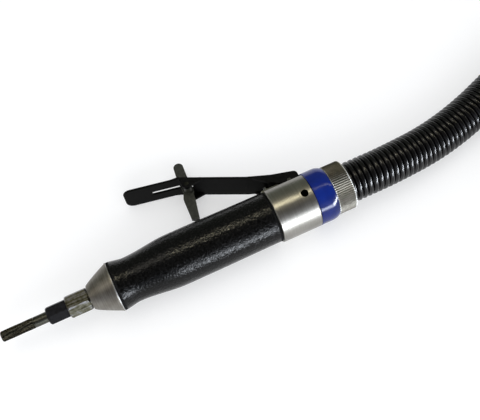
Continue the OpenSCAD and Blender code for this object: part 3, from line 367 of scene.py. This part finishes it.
class Nodes:
    """Short calls for a material's nodes."""

    def __init__(self, mat):
        self.tree = mat.node_tree
        self.shader = self.tree.nodes["Principled BSDF"]
        self.coord = self.new("TexCoord").outputs["Object"]

    def new(self, kind, **values):
        n = self.tree.nodes.new("ShaderNode" + kind)
        for socket, value in values.items():
            n.inputs[socket.replace("_", " ")].default_value = value
        return n

    def link(self, a, b):
        self.tree.links.new(a, b)

    def scaled(self, scale):
        """The coordinates stretched, so that a noise becomes lines."""
        n = self.new("Mapping", Scale=scale)
        self.link(self.coord, n.inputs["Vector"])
        return n.outputs["Vector"]

    def along(self):
        """The place along the tool's axis."""
        n = self.new("SeparateXYZ")
        self.link(self.coord, n.inputs[0])
        return n.outputs["X"]

    def noise(self, vector, scale, detail=3, rough=0.5, distortion=0.0):
        n = self.new("TexNoise", Scale=scale, Detail=detail, Roughness=rough, Distortion=distortion)
        self.link(vector, n.inputs["Vector"])
        return n.outputs["Fac"]

    def voronoi(self, vector, scale):
        n = self.new("TexVoronoi", Scale=scale)
        self.link(vector, n.inputs["Vector"])
        return n.outputs["Distance"]

    def ramp(self, fac, stops):
        n = self.new("ValToRGB")
        elements = n.color_ramp.elements
        while len(elements) < len(stops):
            elements.new(0.5)
        for element, (position, color) in zip(elements, stops):
            element.position = position
            element.color = (*color, 1)
        self.link(fac, n.inputs["Fac"])
        return n.outputs["Color"]

    def maths(self, operation, a, b):
        n = self.new("Math")
        n.operation = operation
        for i, value in enumerate((a, b)):
            if isinstance(value, (int, float)):
                n.inputs[i].default_value = value
            else:
                self.link(value, n.inputs[i])
        return n.outputs[0]

    def total(self, a, share_a, b, share_b):
        """Two values added, each times its share."""
        return self.maths("ADD", self.maths("MULTIPLY", a, share_a), self.maths("MULTIPLY", b, share_b))

    def outside(self, low, high):
        """1 before low and beyond high along the tool's axis, 0 between."""
        x = self.along()
        return self.maths("MAXIMUM", self.maths("LESS_THAN", x, low), self.maths("GREATER_THAN", x, high))

    def vector(self, operation, a, b=None):
        n = self.new("VectorMath")
        n.operation = operation
        for i, value in enumerate((a, b)):
            if isinstance(value, Vector):
                n.inputs[i].default_value = value
            elif value is not None:
                self.link(value, n.inputs[i])
        return n.outputs["Value" if operation in ("LENGTH", "DOT_PRODUCT") else "Vector"]

    def mix(self, fac, a, b):
        """From the colour a at 0 to b at 1: the node's inputs 6 and 7 and output 2 are colours."""
        n = self.new("Mix")
        n.data_type = "RGBA"
        self.link(fac, n.inputs[0])
        for i, value in ((6, a), (7, b)):
            if isinstance(value, tuple):
                n.inputs[i].default_value = (*value, 1)
            else:
                self.link(value, n.inputs[i])
        return n.outputs[2]

    def range(self, fac, low, high, start=0.0, end=1.0):
        """From low to high while the value goes from start to end."""
        n = self.new("MapRange", To_Min=low, To_Max=high, From_Min=start, From_Max=end)
        self.link(fac, n.inputs["Value"])
        return n.outputs["Result"]

    def bump(self, height, distance, strength):
        n = self.new("Bump", Strength=strength, Distance=distance)
        self.link(height, n.inputs["Height"])
        self.link(n.outputs["Normal"], self.shader.inputs["Normal"])

    def color(self, out):
        self.link(out, self.shader.inputs["Base Color"])

    def color_now(self):
        """The output that gives the base colour so far."""
        return self.shader.inputs["Base Color"].links[0].from_socket

    def rough(self, out):
        self.link(out, self.shader.inputs["Roughness"])


GRAIN_DEPTH = 0.00002


def turned_metal(name, dark, light, rough=(0.24, 0.4), lines=2600, blotch=60):
    """Metal with fine turned rings across X and larger soft patches."""
    m = material(name, light, 1.0, rough[1])
    n = Nodes(m)
    rings = n.noise(n.scaled((1, 0.02, 0.02)), lines, detail=2)
    patches = n.noise(n.coord, blotch, detail=4)
    n.color(n.ramp(n.total(rings, 0.5, patches, 0.5), [(0.3, dark), (0.65, light)]))
    n.rough(n.range(n.total(rings, 0.6, patches, 0.4), *rough))
    n.bump(rings, GRAIN_DEPTH, 0.5)
    return m


def grained(name, dark, light, rough, scale, metallic, detail, **sockets):
    """One fine grain in colour, roughness and height."""
    m = material(name, light, metallic, rough[1], **sockets)
    n = Nodes(m)
    grain = n.noise(n.coord, scale, detail)
    n.color(n.ramp(grain, [(0.3, dark), (0.7, light)]))
    n.rough(n.range(grain, *rough))
    n.bump(grain, GRAIN_DEPTH, 0.3)
    return m


def metal(name, dark, light, rough, scale=500):
    return grained(name, dark, light, rough, scale, metallic=1.0, detail=4)


def plastic(name, dark, light, rough, scale=700, **sockets):
    return grained(name, dark, light, rough, scale, metallic=0.0, detail=3, **sockets)


GRIP_RIM = 1.4 * MM


def grip_material():
    """Crinkled black, with wet-looking spots among dull ones."""
    m = material("grip_crinkle", grey(0.002), rough=0.2, Specular_IOR_Level=0.17)
    n = Nodes(m)
    folds = n.noise(n.coord, 780, detail=1, distortion=0.3)
    cells = n.voronoi(n.coord, 820)
    speckle = n.noise(n.coord, 820, detail=2, rough=0.6)
    n.color(n.ramp(folds, [(0.35, grey(0.001)), (0.7, grey(0.004))]))
    n.bump(n.total(folds, 0.8, cells, 0.5), distance=0.00018, strength=1.0)
    # both end rims are dull
    low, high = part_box("grip_sleeve")
    rims = n.outside(low[0] + GRIP_RIM, high[0] - GRIP_RIM)
    n.rough(n.maths("MAXIMUM", n.range(speckle, -0.16, 0.6), rims))
    return m


def hose_material():
    m = material("hose_gloss", grey(0.002), rough=0.16, Specular_IOR_Level=0.36)
    n = Nodes(m)
    dust = n.noise(n.coord, 300, detail=4, rough=0.6)
    n.color(n.ramp(dust, [(0.4, grey(0.001)), (0.8, (0.003, 0.003, 0.004))]))
    n.rough(n.range(dust, 0.2, 0.27))
    n.bump(n.noise(n.coord, 250, detail=2), GRAIN_DEPTH, 0.15)
    return m


# Place, turn, radius and near side of the spanner hole, whose inside gets painted shade
HOLE_X, HOLE_TURN = 114.3, math.radians(13)
HOLE_R, HOLE_SIDE = 0.00214, 0.001


def housing_material():
    m = turned_metal("housing_satin", (0.2, 0.192, 0.172), (0.31, 0.3, 0.276), rough=(0.26, 0.38))
    n = Nodes(m)
    # painted shade: the spanner hole's inside, on its own side of the axis only, is painted near black and
    # not metallic, for the shade deep in the hole
    axis = tool(0, -math.cos(HOLE_TURN), -math.sin(HOLE_TURN)) - tool(0, 0, 0)
    axis.normalize()
    away = n.vector("SUBTRACT", n.coord, tool(HOLE_X, 0, 0))
    radius = n.vector("LENGTH", n.vector("CROSS_PRODUCT", away, axis))
    out = n.vector("DOT_PRODUCT", away, axis)
    within = n.maths("LESS_THAN", radius, HOLE_R)
    painted_hole_shade = n.maths("MULTIPLY", within, n.maths("GREATER_THAN", out, HOLE_SIDE))
    n.color(n.mix(painted_hole_shade, n.color_now(), (0.004, 0.004, 0.003)))
    n.link(n.maths("SUBTRACT", 1.0, painted_hole_shade), n.shader.inputs["Metallic"])
    n.shader.inputs["Specular IOR Level"].default_value = 0.0
    return m


HEAD_END, SHANK_START = -47.5 * MM + SHIFT_X, -46.9 * MM + SHIFT_X


def burr_material():
    """Dark fluted head and a lighter ground shank."""
    m = material("burr_carbide", (0.1, 0.09, 0.07), metallic=1.0, rough=0.3)
    n = Nodes(m)
    grain = n.noise(n.coord, 1500, detail=4)
    head = n.ramp(grain, [(0.38, (0.008, 0.008, 0.006)), (0.62, (0.085, 0.078, 0.056))])
    shank = n.ramp(grain, [(0.3, (0.045, 0.045, 0.036)), (0.7, (0.1, 0.098, 0.082))])
    n.color(n.mix(n.range(n.along(), 0.0, 1.0, HEAD_END, SHANK_START), head, shank))
    n.rough(n.range(grain, 0.3, 0.45))
    n.bump(grain, GRAIN_DEPTH, 0.4)
    return m


def spindle_material():
    """Olive-silver with streaks along the tool."""
    m = material("spindle_olive", (0.2, 0.19, 0.14), metallic=1.0, rough=0.36)
    n = Nodes(m)
    grain = n.noise(n.coord, 500, detail=4)
    streak = n.noise(n.scaled((0.06, 1, 1)), 900, detail=2)
    stops = [(0.38, (0.035, 0.033, 0.021)), (0.5, (0.09, 0.086, 0.062)), (0.62, (0.17, 0.17, 0.18))]
    n.color(n.ramp(n.total(grain, 0.4, streak, 0.6), stops))
    n.rough(n.range(grain, 0.26, 0.42))
    n.bump(streak, distance=0.00006, strength=0.5)
    return m


# Width of the painted highlight on the cone's rear rim
CONE_RIM_HIGHLIGHT = 0.35 * MM


def cone_material():
    m = turned_metal("cone_satin", (0.12, 0.107, 0.088), (0.24, 0.228, 0.204),
                     rough=(0.38, 0.52), lines=2200, blotch=190)
    n = Nodes(m)
    # painted highlight: the turned rear rim is painted a brighter colour, partly for its smoother turned
    # edge and partly as a painted highlight for the light it catches
    rim_highlight = n.maths("GREATER_THAN", n.along(), SHIFT_X - CONE_RIM_HIGHLIGHT)
    n.color(n.mix(rim_highlight, n.color_now(), (0.45, 0.45, 0.44)))
    return m


def ring_material():
    m = material("ring_blue_gloss", (0.004, 0.014, 0.18), rough=0.16, Specular_IOR_Level=0.28)
    n = Nodes(m)
    flow = n.noise(n.coord, 90)
    n.color(n.ramp(flow, [(0.35, (0.002, 0.011, 0.12)), (0.7, (0.004, 0.02, 0.2))]))
    n.rough(n.range(n.noise(n.coord, 250), 0.13, 0.2))
    return m


# Widths of the painted highlights on the sleeve's front edge and rear chamfer
SLEEVE_FRONT_HIGHLIGHT, SLEEVE_REAR_HIGHLIGHT = 0.49 * MM, 0.7 * MM


def knurl_material():
    m = material("sleeve_knurled", (0.2, 0.185, 0.15), metallic=1.0, rough=0.38)
    n = Nodes(m)
    patches = n.noise(n.coord, 260, detail=4)
    field = n.ramp(patches, [(0.3, (0.085, 0.08, 0.067)), (0.7, (0.145, 0.138, 0.12))])
    # painted highlight: the front edge and the rear chamfer are painted a brighter metal colour, partly
    # for their smooth turned finish and partly as a painted highlight for the light they catch
    low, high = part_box("knurled_sleeve")
    rims = n.outside(low[0] + SLEEVE_FRONT_HIGHLIGHT, high[0] - SLEEVE_REAR_HIGHLIGHT)
    n.color(n.mix(rims, field, (0.4, 0.4, 0.39)))
    n.rough(n.range(patches, 0.52, 0.66))
    n.bump(n.noise(n.scaled((1, 0.3, 0.3)), 1800, detail=2), distance=0.00003, strength=0.4)
    return m


def strap_material():
    m = material("tie_strap_weave", grey(0.02), rough=0.85)
    n = Nodes(m)
    weave = n.maths("MULTIPLY", n.voronoi(n.coord, 1500), n.noise(n.coord, 900, detail=2))
    n.color(n.ramp(weave, [(0.05, grey(0.006)), (0.4, (0.03, 0.03, 0.031))]))
    n.bump(weave, distance=0.0003, strength=0.6)
    return m


def lever_material():
    return plastic("lever_black_paint", grey(0.002), grey(0.005), (0.42, 0.56), 600,
                   Specular_IOR_Level=0.06)


def lock_off_material():
    return plastic("lock_olive_grey", (0.02, 0.021, 0.016), (0.04, 0.04, 0.032), (0.36, 0.5), 600,
                   Specular_IOR_Level=0.3)


def collet_material():
    return plastic("collet_black_oxide", (0.004, 0.004, 0.005), (0.01, 0.01, 0.012), (0.3, 0.45),
                   Specular_IOR_Level=0.08)


# The material of each CAD node, first those with one of their own
BRASS_DARK, BRASS_LIGHT = (0.45, 0.34, 0.14), (0.62, 0.5, 0.24)
LOOKS = {
    "burr": burr_material(),
    "collet": collet_material(),
    "spindle": spindle_material(),
    "nose_cone": cone_material(),
    "grip_sleeve": grip_material(),
    "valve_housing": housing_material(),
    "colour_ring": ring_material(),
    "knurled_sleeve": knurl_material(),
    "throttle_lever": lever_material(),
    "lock_off_lever": lock_off_material(),
    "hinge_pin": metal("pin_dark", grey(0.05), (0.12, 0.12, 0.115), (0.3, 0.45)),
    "lock_off_pin": metal("pin_olive", (0.015, 0.015, 0.012), (0.05, 0.05, 0.042), (0.35, 0.5)),
    "valve_stem": metal("stem_polished", (0.5, 0.5, 0.49), (0.68, 0.68, 0.66), (0.14, 0.24)),
    "motor_tube": turned_metal("tube_ground", grey(0.36), grey(0.5)),
    "hose_tie": strap_material(),
    "end_cuff": plastic("cuff_moulded", grey(0.012), grey(0.025), (0.4, 0.55), 900),
    "crimp_ferrule": metal("ferrule_plated", (0.5, 0.5, 0.48), (0.68, 0.67, 0.64), (0.2, 0.36)),
    "air_plug": turned_metal("plug_plated", (0.5, 0.5, 0.48), (0.7, 0.69, 0.66), (0.16, 0.3), 1800),
    "inlet_nipple": turned_metal("nipple_brass", BRASS_DARK, BRASS_LIGHT, (0.2, 0.34)),
    "valve_gland": turned_metal("gland_brass", BRASS_DARK, BRASS_LIGHT, (0.2, 0.34)),
    "valve_seat": plastic("seat_white", (0.6, 0.58, 0.52), (0.75, 0.73, 0.68), (0.4, 0.5), 900),
    "vanes": plastic("vane_brown", (0.16, 0.085, 0.035), (0.3, 0.18, 0.09), (0.5, 0.65), 300),
}
steel = metal("steel_ground", (0.36, 0.37, 0.38), (0.52, 0.53, 0.54), (0.2, 0.35))
bearing = metal("steel_polished", (0.55, 0.56, 0.58), (0.72, 0.73, 0.75), (0.08, 0.16))
brass = metal("brass_plain", (0.42, 0.3, 0.12), (0.6, 0.45, 0.2), (0.25, 0.4), 400)
rubber = plastic("rubber_plain", grey(0.012), grey(0.03), (0.5, 0.65))
spring = metal("spring_wire", (0.4, 0.4, 0.41), (0.55, 0.56, 0.57), (0.2, 0.3), 600)
SHARED = (
    (steel, ("rotor", "cylinder_liner", "front_end_plate", "rear_end_plate", "rotor_lock_nut")),
    (bearing, ("front_inner_ring", "front_outer_ring", "rear_inner_ring", "rear_outer_ring",
               "front_bearing_balls", "rear_bearing_balls")),
    (brass, ("front_bearing_cage", "rear_bearing_cage")),
    (rubber, ("nose_seal", "tube_o_ring", "supply_hose")),
    (spring, ("valve_spring", "lock_off_spring", "preload_washer")),
)
for mat, nodes in SHARED:
    for node in nodes:
        LOOKS[node] = mat
for node, mat in LOOKS.items():
    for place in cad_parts[node].material_slots:
        place.material = mat
for piece in (tie, lap):
    finish_piece(piece, LOOKS["hose_tie"], 40)
finish_piece(hose, hose_material(), 45)
finish_piece(tail, plastic("supply_hose_skin", (0.01, 0.01, 0.012), (0.02, 0.021, 0.024), (0.35, 0.5)), 60)


# Floor, cards, world and lamps
def empty_tree(owner):
    owner.use_nodes = True
    owner.node_tree.nodes.clear()
    return owner.node_tree


def shine(tree, kind, color, strength=1.0):
    """A node that gives light: Emission or Background."""
    n = tree.nodes.new("ShaderNode" + kind)
    n.inputs["Color"].default_value = (*color, 1)
    n.inputs["Strength"].default_value = strength
    return n


def seen_rays(tree):
    """1 for rays that show the background, seen or mirrored, and 0 for those that light the object."""
    rays = tree.nodes.new("ShaderNodeLightPath").outputs
    out = rays["Is Camera Ray"]
    for kind in ("Is Glossy Ray", "Is Transmission Ray"):
        n = tree.nodes.new("ShaderNodeMath")
        n.operation = "MAXIMUM"
        tree.links.new(out, n.inputs[0])
        tree.links.new(rays[kind], n.inputs[1])
        out = n.outputs[0]
    return out


FLOOR_HALF, FLOOR_GREY, FLOOR_GLOW = 6, 0.6, 0.43


def add_floor():
    """A pale floor: a diffuse surface that keeps the shadow, with a glow that only the view gets."""
    corners = [(x * FLOOR_HALF, y * FLOOR_HALF, 0) for x, y in ((-1, -1), (1, -1), (1, 1), (-1, 1))]
    floor = mesh_object("floor", corners, [(0, 1, 2, 3)])
    m = bpy.data.materials.new("floor_pale")
    tree = empty_tree(m)
    out = tree.nodes.new("ShaderNodeOutputMaterial")
    diffuse = tree.nodes.new("ShaderNodeBsdfDiffuse")
    diffuse.inputs["Color"].default_value = (*grey(FLOOR_GREY), 1)
    glow = shine(tree, "Emission", grey(1))
    share = tree.nodes.new("ShaderNodeMath")
    share.operation = "MULTIPLY"
    share.inputs[1].default_value = FLOOR_GLOW
    both = tree.nodes.new("ShaderNodeAddShader")
    tree.links.new(seen_rays(tree), share.inputs[0])
    tree.links.new(share.outputs[0], glow.inputs["Strength"])
    tree.links.new(diffuse.outputs[0], both.inputs[0])
    tree.links.new(glow.outputs[0], both.inputs[1])
    tree.links.new(both.outputs[0], out.inputs[0])
    floor.data.materials.append(m)


# Ends of the cards along X, each named after the part of the tool that mirrors that place. The
# brightest ones stop short of the nose, so that the swelling front of the grip stays dark
FAR = 3.0
BURR_END, NOSE_END, GRIP_START, GRIP_END = -0.2, 0.0, 0.05, 0.18
RING_START, RING_END, SLEEVE_END = 0.3, 0.36, 0.5
CARD_R, NEAR_CARD_R, ARC_STEPS = 1.0, 0.98, 10
WARM, COOL = (1.0, 0.93, 0.68), (0.88, 0.93, 1.0)

# Name, arc in degrees from +Y over the top to -Y, radius, colour, strength, ends
CARDS = (
    ("card_rear", -1, 60, CARD_R, (0.2, 0.215, 0.18), 1.0, -FAR, FAR),
    ("card_over", 60, 146, CARD_R, (0.1, 0.095, 0.09), 1.0, -FAR, FAR),
    ("card_warm_nose", 68, 86, NEAR_CARD_R, (1.0, 0.95, 0.85), 2.4, -FAR, NOSE_END),
    ("card_warm_grip", 77.8, 79.3, NEAR_CARD_R, WARM, 100.0, GRIP_START, GRIP_END),
    ("card_warm_housing", 76, 80, NEAR_CARD_R, WARM, 10.0, GRIP_END, RING_START),
    ("card_warm_sleeve", 76, 80, NEAR_CARD_R, WARM, 10.0, RING_END, SLEEVE_END),
    ("card_warm_hose", 76, 80, NEAR_CARD_R, WARM, 8.0, SLEEVE_END, FAR),
    ("card_key_soft", 146, 164, CARD_R, (0.8, 0.85, 1.0), 0.7, -FAR, FAR),
    ("card_dark_burr", 164, 178.5, CARD_R, (0.25, 0.25, 0.24), 1.0, -FAR, BURR_END),
    ("card_key_nose", 164, 178.5, CARD_R, COOL, 2.0, BURR_END, NOSE_END),
    ("card_key_grip", 152, 168, NEAR_CARD_R, COOL, 6.0, NOSE_END, GRIP_END),
    ("card_key", 168, 178.8, CARD_R, COOL, 24.0, NOSE_END, SLEEVE_END),
    ("card_key_hose", 168, 178.0, CARD_R, COOL, 72.0, SLEEVE_END, FAR),
)


def add_card(name, low, high, radius, color, strength, left, right):
    """A glowing strip round the tool's axis, which only its gloss shows."""
    verts, faces = [], []
    for i in range(ARC_STEPS + 1):
        a = math.radians(low + (high - low) * i / ARC_STEPS)
        for x in (left, right):
            verts.append((x, SHIFT_Y + radius * math.cos(a), AXIS_H + radius * math.sin(a)))
    for i in range(ARC_STEPS):
        faces.append((2 * i, 2 * i + 1, 2 * i + 3, 2 * i + 2))
    card = mesh_object(name, verts, faces)
    m = bpy.data.materials.new(name)
    tree = empty_tree(m)
    out = tree.nodes.new("ShaderNodeOutputMaterial")
    tree.links.new(shine(tree, "Emission", color, strength).outputs[0], out.inputs[0])
    card.data.materials.append(m)
    card.visible_camera = False
    card.visible_diffuse = False
    card.visible_shadow = False
    card.visible_transmission = False


def add_world():
    """White where it is seen, and a plain room for the light on the object."""
    world = bpy.data.worlds.new("world")
    bpy.context.scene.world = world
    tree = empty_tree(world)
    out = tree.nodes.new("ShaderNodeOutputWorld")
    mix = tree.nodes.new("ShaderNodeMixShader")
    room = shine(tree, "Background", (0.95, 0.97, 1.0), 0.8)
    tree.links.new(seen_rays(tree), mix.inputs[0])
    tree.links.new(room.outputs[0], mix.inputs[1])
    tree.links.new(shine(tree, "Background", grey(1)).outputs[0], mix.inputs[2])
    tree.links.new(mix.outputs[0], out.inputs[0])


LAMP_AIM = Vector((0.05, 0, 0))


def add_lamp(name, place, size, power, color):
    """A large soft lamp that leaves no glint of its own."""
    data = bpy.data.lights.new(name, "AREA")
    data.shape = "RECTANGLE"
    data.size, data.size_y = size
    data.energy = power
    data.color = color
    lamp = add_object(name, data)
    lamp.location = place
    lamp.rotation_euler = (LAMP_AIM - Vector(place)).to_track_quat("-Z", "Y").to_euler()
    lamp.visible_glossy = False


add_floor()
for card in CARDS:
    add_card(*card)
add_world()
add_lamp("key", (0.05, -0.9, 0.55), size=(1.2, 0.5), power=4.5, color=(0.95, 0.97, 1.0))
add_lamp("fill", (-0.1, 0.2, 1.1), size=(1.0, 0.6), power=2, color=(1.0, 0.97, 0.9))
